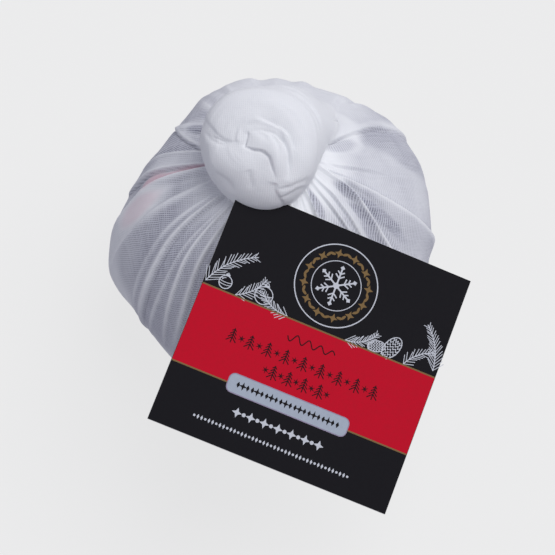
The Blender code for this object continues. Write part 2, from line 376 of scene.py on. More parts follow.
def flat_cloth(name, across, down):
    """A flat grid of cloth, one unit square, with its own UV map."""
    bpy.ops.object.select_all(action="DESELECT")
    bpy.ops.mesh.primitive_grid_add(x_subdivisions=across, y_subdivisions=down, size=1)
    piece = bpy.context.object
    piece.name = piece.data.name = name
    return piece


def close_seam(piece, reach=1e-6):
    """Joins the two edges that meet, and turns all faces outwards."""
    bpy.ops.object.select_all(action="DESELECT")
    bpy.context.view_layer.objects.active = piece
    piece.select_set(True)
    bpy.ops.object.mode_set(mode="EDIT")
    bpy.ops.mesh.select_all(action="SELECT")
    bpy.ops.mesh.remove_doubles(threshold=reach)
    bpy.ops.mesh.normals_make_consistent(inside=False)
    bpy.ops.object.mode_set(mode="OBJECT")
    bpy.ops.object.shade_smooth()


# ================================================================ the muslin
def base_polar():
    """The polar angle of the flat spot's edge."""
    return 180 - math.degrees(math.atan2(BASE_RADIUS, BALL_HEIGHT))


def neck_polar():
    """The polar angle of the top of the neck."""
    return math.degrees(math.atan2(NECK_TOP_RADIUS, NECK_TOP - BALL_HEIGHT))


def ball_reach(polar):
    """Distance from the ball's middle to its smooth surface."""
    down = np.radians(polar)
    upper = 1 / np.hypot(np.sin(down) / BALL_RADIUS, np.cos(down) / BALL_RISE)
    low = math.hypot(BASE_RADIUS, BALL_HEIGHT)
    lower = BALL_RADIUS + (low - BALL_RADIUS) * rise(90, base_polar(), polar)
    return np.where(polar > 90, lower, upper)


def swell(azimuth, polar):
    """How far the ball is fuller or flatter here than a round one."""
    here = direction(azimuth, polar)
    total = np.zeros_like(polar)
    for around, above, spread, depth in SWELLS:
        away = np.arccos(np.clip(here @ direction(around, 90.0 - above), -1, 1))
        total += depth * MM * bump(np.degrees(away), spread)
    return total


def neck_reach(polar):
    """Distance from the ball's middle to the neck's cone."""
    down = np.radians(np.minimum(polar, NECK_END))
    narrowing = (NECK_RADIUS - NECK_TOP_RADIUS) / (NECK_TOP - NECK_FOOT)
    at_middle = NECK_RADIUS + narrowing * (NECK_FOOT - BALL_HEIGHT)
    return at_middle / (np.sin(down) + narrowing * np.cos(down))


def crest_of(high, half, wide, polar):
    """The azimuth of a fold's crest, on a smooth curve through its three azimuths."""
    course = np.polyfit((HIGH_UP, HALFWAY, WIDEST), (high, half, wide), 2)
    return np.polyval(course, np.clip(polar, *FOLD_COURSE))


def across_fold(azimuth, crest, polar):
    """The signed distance along the cloth from a fold's crest."""
    turn = np.radians(turn_between(azimuth, crest))
    return turn * np.sin(np.radians(polar)) * BALL_RADIUS


def crest_shape(aside, width):
    """A fold's keen crest: 1 on it, and near 0 two widths away."""
    return np.exp(-(np.abs(aside / width) ** FOLD_SHARPNESS))


def deep_folds(azimuth, polar):
    """The height of the deep folds, and how much of the cloth is doubled in them."""
    height = np.zeros_like(polar)
    doubled = np.zeros_like(polar)
    narrow = grown(FOLD_START, *FOLD_WIDENS, polar)
    for high, half, wide, fade, *lengths in DEEP_FOLDS:
        lift, width, steep = (length * MM for length in lengths)
        aside = across_fold(azimuth, crest_of(high, half, wide, polar), polar) * np.sign(steep)
        gentle = width * narrow
        sharp = abs(steep) * (STEEP_START + (1 - STEEP_START) * narrow)
        crest = lopsided(aside, sharp, gentle, crest_shape)
        crease = bump(aside - CREASE_ASIDE * sharp, CREASE_WIDTH * sharp)
        along = grown(FOLD_START, *FOLD_LIFTS, polar) * (1 - rise(fade - FOLD_FADE, fade, polar))
        height += lift * along * (crest - CREASE_DEPTH * crease)
        doubled += along * lopsided(aside, sharp, DOUBLED_WIDTH * gentle)
    return height, doubled


def gathers(azimuth, polar):
    """The height of the small gathers."""
    dice = random.Random(GATHER_SEED)
    height = np.zeros_like(polar)
    for count, fade_middle, fade_spread, low, high, width in GATHERS:
        for i in range(count):
            start = 360 * (i + dice.uniform(-0.42, 0.42)) / count
            drift = dice.uniform(-0.16, 0.16)
            bend = dice.uniform(-0.0022, 0.0022)
            fade = fade_middle + dice.uniform(-1, 1) * fade_spread
            lift = dice.uniform(low, high)
            steep = dice.choice((-1, 1))
            wide = width * MM * dice.uniform(0.7, 1.4)
            crest = start + drift * (polar - 20) + bend * (polar - 20) ** 2
            narrow = wide * grown(GATHER_START, *GATHER_WIDENS, polar)
            sharp = GATHER_STEEP * narrow
            aside = across_fold(azimuth, crest, polar) * steep
            shape = lopsided(aside, sharp, narrow)
            crease = bump(aside - 2 * sharp, sharp)
            along = rise(*GATHER_RISE, polar) * (1 - rise(fade * GATHER_FADE, fade, polar))
            height += lift * MM * along * (shape - CREASE_DEPTH * crease)
    return height * (1 - patches(azimuth, polar, CALM_PATCHES))


def lay_weave(piece, azimuth, polar):
    """Runs the threads straight across each panel of cloth between two deep folds.

    The cloth is one square, so a panel's threads turn against its pleats as much as the
    panel has turned round the ball.
    """
    corners = get_corners(piece)
    faces = corners.reshape(-1, 4)
    crests = np.stack([crest_of(*fold[:3], polar[faces[:, 0]]) for fold in DEEP_FOLDS])
    beyond = (azimuth[faces].mean(axis=1) - crests) % 360
    panel = beyond.argmin(axis=0).repeat(4)
    crest = np.choose(panel, [crest_of(*fold[:3], polar[corners]) for fold in DEEP_FOLDS])
    across = across_fold(azimuth[corners], crest, polar[corners])
    down = np.radians(polar[corners]) * BALL_RADIUS
    leans = [THREAD_TURN * fold[1] + (90 if fold[1] < 0 else 0) for fold in DEEP_FOLDS]
    lean = np.radians(leans)[panel]
    threads = np.empty((len(corners), 2))
    threads[:, 0] = across * np.cos(lean) + down * np.sin(lean)
    threads[:, 1] = down * np.cos(lean) - across * np.sin(lean)
    stretched = np.array([0 < fold[1] < STRETCHED_TO for fold in DEEP_FOLDS])
    threads[stretched[panel]] *= THREAD_SPREAD
    set_threads(piece, threads)


def patches(azimuth, polar, places):
    """A soft-edged mask, 1 inside the given patches of cloth."""
    mask = np.zeros_like(polar)
    for around, down, wide, tall, strength in places:
        away = np.hypot(turn_between(azimuth, around) / wide, (polar - down) / tall)
        mask = np.maximum(mask, strength * (1 - rise(*PATCH_EDGE, away)))
    return mask


def muslin_wrap():
    """The cloth drawn up over the ball, with its folds and gathers, down to the flat spot."""
    piece = flat_cloth("muslin_wrap", CLOTH_AROUND, CLOTH_DOWN)
    flat = get_points(piece)
    azimuth = 360 * (flat[:, 0] + 0.5)
    share = 0.5 - flat[:, 1]
    top, base = neck_polar(), base_polar()
    polar = top + (base - top) * share**CLOTH_CROWDING
    ball = ball_reach(polar) + swell(azimuth, polar)
    neck = neck_reach(polar)
    soft = neck + NECK_SOFTNESS * np.logaddexp(0, (ball - neck) / NECK_SOFTNESS)
    reach = np.where(polar < NECK_END, soft, ball)
    folds, doubled = deep_folds(azimuth, polar)
    reach += folds + gathers(azimuth, polar)
    base_reach = math.hypot(BASE_RADIUS, BALL_HEIGHT)
    reach += (base_reach - reach) * rise(base - BASE_BLEND, base, polar)
    points = direction(azimuth, polar) * reach[:, None]
    points += np.array(NECK_OFFSET) * (1 - rise(*NECK_LEAN, polar))[:, None]
    points[:, 2] += BALL_HEIGHT
    points[share > 1 - 0.5 / CLOTH_DOWN, 2] = 0.0
    set_points(piece, points)
    # The patches of single cloth also paint shade into one fold's valley, and the patches of thick
    # cloth paint light onto the shaded left flank low down.
    thin = patches(azimuth, polar, THIN_AND_SHADED_PATCHES)
    thick = np.maximum(FOLD_WHITE * doubled, patches(azimuth, polar, THICK_AND_PAINTED_LIGHT_PATCHES))
    set_mask(piece, "doubled", np.clip(thick, 0, 1) * (1 - thin))
    set_mask(piece, "thin", thin)
    set_mask(piece, "pink", patches(azimuth, polar, PINK_PATCHES))
    set_mask(piece, "gathered", (1 - rise(*NECK_WHITE, polar)) * (1 - thin))
    lay_weave(piece, azimuth, polar)
    close_base(piece)
    return piece


def close_base(piece):
    """Closes the seam, the flat spot and the end inside the bun."""
    close_seam(piece)
    bpy.ops.object.mode_set(mode="EDIT")
    bpy.ops.mesh.select_all(action="DESELECT")
    bpy.ops.mesh.select_mode(type="EDGE")
    bpy.ops.mesh.select_non_manifold(extend=False)
    bpy.ops.mesh.fill_holes(sides=0)
    bpy.ops.mesh.select_mode(type="VERT")
    bpy.ops.object.mode_set(mode="OBJECT")


# ================================================================ the bun
def smooth_route(points, steps=6):
    """Points on a smooth curve through the given ones."""
    points = np.array(points, float)
    padded = np.vstack((points[:1], points, points[-1:]))
    route = []
    for a, b, c, d in zip(padded, padded[1:], padded[2:], padded[3:]):
        for t in np.arange(steps) / steps:
            route.append(
                0.5 * (2 * b + (c - a) * t + (2 * a - 5 * b + 4 * c - d) * t**2
                       + (3 * b - a - 3 * c + d) * t**3)
            )
    route.append(points[-1])
    return np.array(route)


def from_route(points, route):
    """How far the points lie to the left of the route, and where along it, from 0 to 1."""
    best = np.full(len(points), np.inf)
    side, along = np.zeros(len(points)), np.zeros(len(points))
    for i, (a, b) in enumerate(zip(route, route[1:])):
        way = b - a
        share = np.clip(((points - a) @ way) / (way @ way), 0, 1)
        gap = points - a - share[:, None] * way
        away = np.hypot(gap[:, 0], gap[:, 1])
        near = away < best
        best[near] = away[near]
        side[near] = np.sign(way[0] * gap[near, 1] - way[1] * gap[near, 0])
        along[near] = (i + share[near]) / (len(route) - 1)
    return best * side, along


def mid_route(along, start):
    """1 along the middle of a route, and 0 at both of its ends."""
    return rise(0, start, along) * (1 - rise(0.7, 1, along))


def folded(points, folds, lobes):
    """The height that these creases and swellings give the points, in millimetres."""
    stepped, rolled, creased = np.zeros((3, len(points)))
    for route, first, last, width, roll, reach, step in folds:
        left, along = from_route(points, smooth_route(route))
        strength = mid_route(along, 0.2)
        depth = first + (last - first) * along
        stepped += strength * step * np.tanh(left / width) * bump(left, 1.5 * reach)
        rolled = np.maximum(rolled, strength * roll * bump(left, reach))
        creased = np.maximum(creased, strength * depth * bump(left, width))
    for route, lift, width in lobes:
        away, along = from_route(points, smooth_route(route))
        stepped += lift * mid_route(along, 0.25) * bump(away, width)
    return stepped - rolled - creased


def wound_wrinkles(around, down):
    """The height of the fine wrinkles; both angles are in degrees, as seen from the axis."""
    dice = random.Random(WRINKLE_SEED)
    height = np.zeros_like(down)
    for count, lengths, depths, widths in WRINKLES:
        for _ in range(count):
            middle, start = dice.uniform(0, 360), dice.uniform(*WRINKLE_STARTS)
            spiral = dice.uniform(*WRINKLE_SPIRALS)
            half = dice.uniform(*lengths)
            depth, width = dice.uniform(*depths), dice.uniform(*widths)
            steep = dice.choice((-1, 1))
            turn = turn_between(around, middle)
            aside = np.radians(down - start - spiral * turn) * BUN_RADII[0] * steep
            fade = 1 - rise(0.3, 1.0, np.abs(turn) / half)
            shape = lopsided(aside, 0.4 * width, width)
            height += depth * fade * (shape - 0.6 * bump(aside - 0.8 * width, 0.5 * width))
    calm = CALM_SHARE * around_middle(around, *CALM_FOOT)
    return height * rise(*WRINKLE_RISE, down) * (1 - calm)


def bun_frame():
    """Turns the bun's own plane into place: its x runs to the right, its z along the axis."""
    return Matrix.Translation(BUN_START) @ facing(BUN_AXIS)


def dome_reach(around, down):
    """How far the bun's smooth dome reaches from its middle, in millimetres."""
    tilt = np.radians(down)
    places = np.arange(len(BUN_RADII)) * 360 / len(BUN_RADII)
    weights = np.stack([bump(turn_between(around, place), BUN_BLEND) for place in places])
    wide = (np.array(BUN_RADII)[:, None] * weights).sum(axis=0) / weights.sum(axis=0)
    middle, spread, deeper = BUN_BACK
    foot = BUN_FOOT + deeper * bump(turn_between(around, middle), spread)
    tall = np.where(down < 90, BUN_TOP, foot)
    middle, spread, rounder = BUN_UNDERSIDE
    power = BUN_SQUARENESS - rounder * bump(turn_between(around, middle), spread)
    across, upwards = np.sin(tilt) / wide, np.abs(np.cos(tilt)) / tall
    reach = (across**power + upwards**power) ** (-1 / power)
    return reach + SKIRT_REACH * around_middle(around, *BUN_SKIRT) * rise(*SKIRT_FALL, down)


def muslin_bun():
    """The tail of the cloth, wound into a bun on top: a soft dome with the coil's creases."""
    piece = flat_cloth("muslin_bun", BUN_AROUND, BUN_DOWN)
    flat = get_points(piece)
    around = 360 * (flat[:, 0] + 0.5)
    down = BUN_END * (0.5 - flat[:, 1]) + BUN_TIP
    turn, tilt = np.radians(around), np.radians(down)
    reach = dome_reach(around, down)
    way = np.stack((np.sin(tilt) * np.cos(turn), np.sin(tilt) * np.sin(turn), np.cos(tilt)), 1)
    seen = (np.array(BUN_MIDDLE) + way * reach[:, None])[:, :2]
    relief = folded(seen, TURNS + PLEATS, LOBES) + wound_wrinkles(around, down)
    reach += relief * (1 - rise(*RELIEF_FADE, down))
    points = (np.array(BUN_MIDDLE) + way * reach[:, None]) * MM
    set_points(piece, moved(points, bun_frame()))
    threads = np.stack((tilt * np.cos(turn), tilt * np.sin(turn)), 1) * BUN_RADII[0] * MM
    set_threads(piece, threads[get_corners(piece)])
    close_base(piece)
    return piece


def melt_offsets(piece, other, soft):
    """How far each point moves so that two skins meet in a hollow curve and not a crease."""
    tree = BVHTree.FromObject(other, bpy.context.evaluated_depsgraph_get())
    corners = piece.data.vertices
    offsets = np.zeros((len(corners), 3))
    for i in np.nonzero(soft > 0)[0].tolist():
        point, own, width = corners[i].co, corners[i].normal, float(soft[i])
        near, normal, _, away = tree.find_nearest(point, width)
        if near is None or (away > MELT_BURIED and (point - near).dot(normal) < 0):
            continue
        share = 1 - away / width
        push = (own + share * normal) / (1 + share * max(own.dot(normal), -0.5))
        offsets[i] = push * (width / 4 * share * share)
    return offsets


def melt_together(wrap, bun):
    """Runs the bun's right flank softly into the shoulder of the cloth."""
    place = bun_frame().inverted()
    moves = []
    for piece, other in ((wrap, bun), (bun, wrap)):
        points = get_points(piece)
        local = moved(points, place)
        side = np.degrees(np.arctan2(local[:, 1], local[:, 0] - MELT_AXIS))
        near = np.hypot(local[:, 0], local[:, 1]) < MELT_WITHIN
        flank = around_middle(side, *MELT_SIDE)
        soft = (MELT_NARROW + (MELT_WIDE - MELT_NARROW) * flank) * near
        moves.append(points + melt_offsets(piece, other, soft))
    for piece, points in zip((wrap, bun), moves):
        set_points(piece, points)


# ================================================================ the card
def card_place():
    """The card's place: its x runs along its top edge, its z out of its printed face."""
    low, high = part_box("label_card")
    middle = (low + high) / 2 + CARD_SHIFT
    turn = Matrix.Rotation(math.radians(CARD_TURN), 4, "Z")
    return Matrix.Translation(middle) @ facing(CARD_FACING) @ turn


def settle(piece, place):
    """Turns the piece into place and keeps that place in its mesh."""
    piece.data.transform(place)
    piece.data.update()


def card_stock():
    """The board itself: printed on its face, plain on its back and softly cut at its edges."""
    bpy.ops.object.select_all(action="DESELECT")
    bpy.ops.mesh.primitive_cube_add(size=1, scale=(CARD_SIDE, CARD_SIDE, CARD_THICKNESS))
    piece = bpy.context.object
    piece.name = piece.data.name = "card_stock"
    bpy.ops.object.transform_apply(location=True, rotation=True, scale=True)
    bevel = piece.modifiers.new("soft edges", "BEVEL")
    bevel.width = CARD_CUT
    bevel.segments = 2
    bpy.ops.object.modifier_apply(modifier=bevel.name)
    piece.data.materials.append(ink_material("black printed face", BLACK_INK, 0.5))
    piece.data.materials.append(board_material())
    for face in piece.data.polygons:
        face.material_index = 0 if face.normal.z > 0.5 else 1
    settle(piece, card_place())
    return piece


# ---------------------------------------------------------------- what is printed on it
def on_card(along, down):
    """A place given in shares of the card's side, along its top edge and down from it."""
    return Vector(((along - 0.5) * CARD_SIDE, (0.5 - down) * CARD_SIDE, 0))


LEVEL_STEP = 0.0002 * MM
LEVELS = itertools.cycle(range(60))
HOOP_STEPS, HOOP_WIDE = 90, 0.05  # the strokes in a ring with this radius or a larger one


def next_level():
    """A hair's height for the next form, so that no two forms that cross lie in one plane."""
    return Vector((0, 0, next(LEVELS) * LEVEL_STEP))


def stretch_and_turn(middle, wide, tall, turn):
    """Shapes the unit-sized form just added, about its own middle; turn is in radians."""
    bpy.ops.transform.resize(value=(wide, tall, 1), center_override=middle)
    bpy.ops.transform.rotate(value=-turn, orient_axis="Z", center_override=middle)


def stroke(start, end, width):
    """A straight line of ink."""
    a, b = on_card(*start), on_card(*end)
    way = b - a
    middle = (a + b) / 2 + next_level()
    bpy.ops.mesh.primitive_plane_add(size=1, location=middle)
    width *= CARD_SIDE
    stretch_and_turn(middle, way.length + width, width, math.atan2(way.y, way.x))


def line(points, width):
    """A line of ink through the points."""
    for start, end in zip(points, points[1:]):
        stroke(start, end, width)


def spot(middle, wide, tall, corners=16, turn=0.0):
    """A filled spot: round, or a diamond or triangle with fewer corners."""
    place = on_card(*middle) + next_level()
    bpy.ops.mesh.primitive_circle_add(
        vertices=corners, radius=1, fill_type="NGON", location=place
    )
    stretch_and_turn(place, wide * CARD_SIDE, tall * CARD_SIDE, math.radians(turn))


def bar(middle, wide, tall):
    """A filled rectangle."""
    place = on_card(*middle) + next_level()
    bpy.ops.mesh.primitive_plane_add(size=1, location=place)
    stretch_and_turn(place, wide * CARD_SIDE, tall * CARD_SIDE, 0)


def around_point(middle, radius, angle, squash=1.0):
    """The point at this angle on a ring; squash flattens the ring from top to bottom."""
    turn = math.radians(angle)
    return middle[0] + radius * math.cos(turn), middle[1] - radius * squash * math.sin(turn)


def hoop(middle, radius, width, squash=1.0, start=0, sweep=360):
    """A ring of ink, or part of one."""
    steps = max(8, int(HOOP_STEPS * sweep / 360 * min(1, radius / HOOP_WIDE)))
    angles = [start + sweep * i / steps for i in range(steps + 1)]
    line([around_point(middle, radius, angle, squash) for angle in angles], width)


def star(middle, radius, points=4, sharpness=0.24):
    """A star of thin crossed diamonds."""
    for i in range(points // 2):
        spot(middle, radius, radius * sharpness, 4, 90 + 360 * i / points)


def fir_tree(middle, height):
    """A little fir drawn in strokes: a stem with four pairs of drooping boughs."""
    along, down = middle
    fine = 0.075 * height
    stroke((along, down - 0.5 * height), (along, down + 0.5 * height), fine)
    for top, reach in ((-0.46, 0.13), (-0.28, 0.20), (-0.08, 0.27), (0.12, 0.34)):
        for hand in (-1, 1):
            tip = (along + hand * reach * height, down + (top + 0.9 * reach) * height)
            stroke((along, down + top * height), tip, fine)


def row(middle, width, count, motif):
    """Motifs side by side on one line; motif gets each one's place and number."""
    for i in range(count):
        motif((middle[0] + width * (i / (count - 1) - 0.5), middle[1]), i)


def snowflake(middle, radius, width):
    """Six arms with two pairs of barbs each."""
    for arm in range(6):
        way = 90 + 60 * arm
        stroke(middle, around_point(middle, radius, way), width)
        for reach, barb in ((0.45, 0.30), (0.70, 0.22)):
            root = around_point(middle, radius * reach, way)
            for lean in (-52, 52):
                stroke(root, around_point(root, radius * barb, way + lean), width * 0.8)
        spot(around_point(middle, radius * 1.08, way), width * 1.5, width * 1.5, 4, way)
    spot(middle, width * 2.2, width * 2.2, 6)


def fir_sprig(start, end, arch, needles, length, width, dice):
    """A drawn sprig: a bowed stem with needles down both sides."""
    start, end = Vector(start), Vector(end)
    side = Vector((end.y - start.y, start.x - end.x))
    stem = []
    for i in range(needles + 1):
        t = i / needles
        stem.append(start.lerp(end, t) + side * arch * 4 * t * (1 - t))
    line([tuple(p) for p in stem], width)
    for i, (here, ahead) in enumerate(zip(stem, stem[1:])):
        way = (ahead - here).normalized()
        reach = length * (1 - 0.55 * i / needles)
        for hand in (-1, 1):
            lean = Vector((way.y, -way.x)) * hand
            tip = here + (way * dice.uniform(0.7, 0.95) + lean * dice.uniform(0.5, 0.8)) * reach
            stroke(tuple(here), tuple(tip), width * 0.75)


def bauble(middle, radius, width):
    """A drawn glass ball with its cap, a shine and two bands."""
    hoop(middle, radius, width)
    for lift in (-0.18, 0.22):
        hoop((middle[0], middle[1] + lift * radius), radius * 0.95, width * 0.8, 0.22, 190, 160)
    hoop(middle, radius * 0.68, width * 0.8, 1.0, 105, 50)
    along, top = middle[0], middle[1] - radius
    cap = top - width
    stroke((along - 0.2 * radius, cap), (along + 0.2 * radius, cap), width * 2)
    hoop((along, top - 0.28 * radius), 0.16 * radius, width * 0.8)


def fir_cone(middle, wide, tall, turn, width):
    """A drawn cone: an outline filled with rows of scales."""
    turned = Matrix.Rotation(math.radians(turn), 2)

    def at(x, y):
        aside = turned @ Vector((x * wide, y * tall))
        return middle[0] + aside.x, middle[1] + aside.y

    line([at(math.cos(a), math.sin(a)) for a in np.linspace(0, 2 * math.pi, 25)], width)
    for level in np.linspace(-0.75, 0.75, 6):
        half = math.sqrt(1 - level**2)
        edges = np.linspace(-half, half, 5)
        for low, high in zip(edges, edges[1:]):
            tip = at((low + high) / 2, level + 0.22)
            line([at(low, level), tip, at(high, level)], width * 0.8)


def lay_ink(name, draw, coats, finish):
    """Prints one colour: draw adds its flat shapes, which then get the ink's thickness."""
    thickness = coats * INK - SUNK
    bpy.ops.object.select_all(action="DESELECT")
    piece = bpy.data.objects.new(name, bpy.data.meshes.new(name))
    bpy.context.scene.collection.objects.link(piece)
    bpy.context.view_layer.objects.active = piece
    piece.select_set(True)
    bpy.ops.object.mode_set(mode="EDIT")
    draw()
    bpy.ops.mesh.select_all(action="SELECT")
    bpy.ops.mesh.extrude_region_move(TRANSFORM_OT_translate={"value": (0, 0, thickness)})
    bpy.ops.mesh.select_all(action="SELECT")
    bpy.ops.mesh.normals_make_consistent(inside=False)
    bpy.ops.object.mode_set(mode="OBJECT")
    piece.data.materials.append(finish)
    face = Matrix.Translation((0, 0, CARD_THICKNESS / 2 + SUNK))
    settle(piece, card_place() @ face)
    return piece


BAND_TOP, BAND_FOOT = 0.4225, 0.7505
RULE = 0.006
BADGE = (0.490, 0.745)
BADGE_SIZE = (0.502, 0.072)
BADGE_CORNER, BADGE_RIM = 0.022, 0.004
EMBLEM = (0.499, 0.230)
EMBLEM_RADIUS = 0.168
WREATH = 24  # places round the emblem, for leaves and stars in turn
NEEDLE_SEED = 5
INK = 0.03 * MM  # one coat
SUNK = -0.02 * MM  # how far it goes into the board


def rounded_bar(middle, wide, tall, corner):
    """A bar with round corners."""
    bar(middle, wide, tall)
    bpy.ops.mesh.bevel(offset=corner * CARD_SIDE, segments=8, affect="VERTICES")


def draw_red():
    """The broad red band."""
    bar((0.5, (BAND_TOP + BAND_FOOT) / 2), 0.996, BAND_FOOT - BAND_TOP)


def draw_gold():
    """The rules along the red band's edges, and a wreath of leaves and stars."""
    for down in (BAND_TOP, BAND_FOOT):
        stroke((0.005, down), (0.995, down), RULE)
    for i in range(WREATH):
        angle = 360 * i / WREATH
        place = around_point(EMBLEM, 0.78 * EMBLEM_RADIUS, angle)
        if i % 2:
            star(place, 0.020, 4, 0.42)
        else:
            for lean in (-28, 28):
                leaf = around_point(place, 0.008, angle + 90 + (0 if lean > 0 else 180))
                spot(leaf, 0.013, 0.0055, 10, angle + 90 + lean)


def draw_badge(rim=0.0):
    """The small plate, or with a rim the edge that shows round it."""
    wide, tall = (side + 2 * rim for side in BADGE_SIZE)
    rounded_bar(BADGE, wide, tall, BADGE_CORNER + rim)


def draw_badge_edge():
    """A darker rim all round the plate, laid under it."""
    draw_badge(BADGE_RIM)


def flourish(start, length, height, waves, width):
    """A wavy line that calms a little towards its end."""
    points = []
    for t in np.linspace(0, 1, 60):
        wave = math.sin(2 * math.pi * waves * t) * (1 - 0.3 * t)
        points.append((start[0] + length * t, start[1] + height * wave))
    line(points, width)


def draw_black():
    """Ornament on the red band: a flourish, then two rows of firs and stars."""
    flourish((0.392, 0.491), 0.20, 0.016, 4, 0.0045)

    def title(place, i):
        if i % 2:
            star(place, 0.016, 6, 0.20)
        else:
            fir_tree(place, 0.056)

    row((0.489, 0.572), 0.60, 17, title)
    row((0.488, 0.650), 0.26, 9, lambda place, i: title(place, i + 1))


def draw_badge_ink():
    """A row of diamonds with a star at every third place."""

    def motif(place, i):
        if i % 3 == 1:
            star(place, 0.018, 4, 0.30)
        else:
            spot(place, 0.0070, 0.0125, 4, 0)

    row(BADGE, 0.42, 22, motif)


def draw_white():
    """The emblem's ring and snowflake, sprigs on the band's upper edge, two rows of beads."""
    hoop(EMBLEM, EMBLEM_RADIUS, 0.0045)
    hoop(EMBLEM, 0.60 * EMBLEM_RADIUS, 0.0032)
    snowflake(EMBLEM, 0.42 * EMBLEM_RADIUS, 0.0065)
    dice = random.Random(NEEDLE_SEED)
    foot = BAND_TOP - 0.004
    fine = 0.0036
    for start, end, arch, needles, length in (
        ((0.01, foot - 0.01), (0.17, 0.245), 0.10, 16, 0.050),
        ((0.14, foot), (0.235, 0.315), -0.10, 11, 0.040),
        ((0.36, foot), (0.235, 0.365), 0.12, 12, 0.036),
        ((0.98, foot - 0.02), (0.90, 0.235), -0.10, 15, 0.045),
        ((0.86, foot), (0.965, 0.33), 0.10, 10, 0.038),
        ((0.61, foot), (0.725, 0.345), -0.14, 13, 0.036),
    ):
        fir_sprig(start, end, arch, needles, length, fine, dice)
    bauble((0.245, foot - 0.040), 0.036, fine)
    bauble((0.085, foot - 0.032), 0.026, fine)
    fir_cone((0.795, foot - 0.042), 0.030, 0.050, 24, fine)
    fir_cone((0.735, foot - 0.024), 0.022, 0.036, 70, fine)

    def bold(place, i):
        if i % 2:
            spot(place, 0.008, 0.008, 12)
        else:
            star(place, 0.021, 4, 0.40)

    def fine_bead(place, i):
        if i % 3:
            spot(place, 0.0050, 0.0100, 4)
        else:
            spot(place, 0.0050, 0.0050, 10)

    row((0.487, 0.848), 0.345, 13, bold)
    row((0.486, 0.919), 0.645, 43, fine_bead)


# The piece, how it is drawn, its thickness in coats, and its ink: name, colour, roughness
PRINTS = (
    ("red_band", draw_red, 1.0, "red ink", (0.505, 0.0015, 0.018), 0.5),
    ("gold_print", draw_gold, 1.6, "dull gold ink", (0.20, 0.125, 0.05), 0.45),
    ("black_print", draw_black, 1.6, "dark ink", (0.035, 0.006, 0.010), 0.6),
    ("white_print", draw_white, 1.0, "white ink", (0.55, 0.57, 0.62), 0.6),
    ("badge_edge", draw_badge_edge, 2.0, "badge edge", (0.30, 0.26, 0.36), 0.6),
    ("badge", draw_badge, 3.0, "badge paper", (0.37, 0.415, 0.49), 0.6),
    ("badge_print", draw_badge_ink, 4.0, "black ink", (0.010, 0.008, 0.010), 0.6),
)


def card_pieces():
    """The board and each colour printed or laid on it."""
    pieces = [card_stock()]
    for name, draw, coats, *ink in PRINTS:
        pieces.append(lay_ink(name, draw, coats, ink_material(*ink)))
    return pieces


# ================================================================ materials
WEAVE_PITCH = 0.62 * MM
THREAD_WANDER = (0.6 * MM, 0.6 * MM, 0)  # how far the threads stray from straight
WHITE_LAYERS = (0.845, 0.855, 0.875, 1)  # cloth lying in many layers, and painted light on the shaded left flank low down
WOUND_SHADE = (0.83, 0.84, 0.86, 1)  # and its slightly duller places, in the bun
THREAD = (0.60, 0.61, 0.67, 1)  # the threads of one layer
BETWEEN = (0.30, 0.30, 0.36, 1)  # what shows between them
THIN_AND_SHADED_BETWEEN = (0.18, 0.18, 0.24, 1)  # and where the cloth is thinnest, and painted shade in one fold's valley
PINK = (0.80, 0.50, 0.57, 1)
BLACK_INK = (0.0065, 0.006, 0.0085)
BOARD, BOARD_FIBRE = (0.55, 0.54, 0.52, 1), (0.72, 0.71, 0.69, 1)


def feed(tree, value, socket):
    """Gives an input its value, or links it to another node's output."""
    if isinstance(value, bpy.types.NodeSocket):
        tree.links.new(value, socket)
    else:
        socket.default_value = value


def feed_inputs(tree, node, **values):
    """Feeds a node's inputs by name, written with _ for each space."""
    for name, value in values.items():
        feed(tree, value, node.inputs[name.replace("_", " ")])


def new_material(name, **looks):
    """A material, its node tree, and its shader with these looks."""
    material = bpy.data.materials.new(name)
    material.use_nodes = True
    tree = material.node_tree
    shader = tree.nodes["Principled BSDF"]
    feed_inputs(tree, shader, **looks)
    return material, tree, shader


def add_node(tree, kind, **settings):
    """A node of this kind; what starts with in_ feeds one of its inputs."""
    node = tree.nodes.new("ShaderNode" + kind)
    for name, value in settings.items():
        if name.startswith("in_"):
            feed_inputs(tree, node, **{name[3:]: value})
        else:
            setattr(node, name, value)
    return node


def mixed(tree, share, first, second):
    """A colour mixed from two others; each may be a colour or another node's output."""
    mix = add_node(tree, "Mix", data_type="RGBA")
    for place, value in ((0, share), (6, first), (7, second)):
        feed(tree, value, mix.inputs[place])
    return mix.outputs[2]


def figured(tree, operation, *values, clamp=False):
    """A number worked out from others; each may be a number or another node's output."""
    node = add_node(tree, "Math", operation=operation, use_clamp=clamp)
    for socket, value in zip(node.inputs, values):
        feed(tree, value, socket)
    return node.outputs[0]


def grain(tree, place, scale, detail, distortion=0.0):
    """Noise from 0 to 1 over the given place."""
    noise = add_node(tree, "TexNoise", in_Vector=place, in_Scale=scale, in_Detail=detail)
    feed_inputs(tree, noise, Distortion=distortion)
    return noise.outputs["Fac"]


def embossed(tree, height, strength, depth):
    """Small relief that only the light sees."""
    node = add_node(tree, "Bump", in_Height=height, in_Strength=strength, in_Distance=depth)
    return node.outputs[0]


def new_group(name, given, results):
    """A node group, what it is given, and what it puts out: sockets by name."""
    group = bpy.data.node_groups.new(name, "ShaderNodeTree")
    for way, sockets in (("INPUT", given), ("OUTPUT", results)):
        for socket, kind in sockets.items():
            group.interface.new_socket(socket, in_out=way, socket_type="NodeSocket" + kind)
    first, last = group.nodes.new("NodeGroupInput"), group.nodes.new("NodeGroupOutput")
    return group, first.outputs, last.inputs


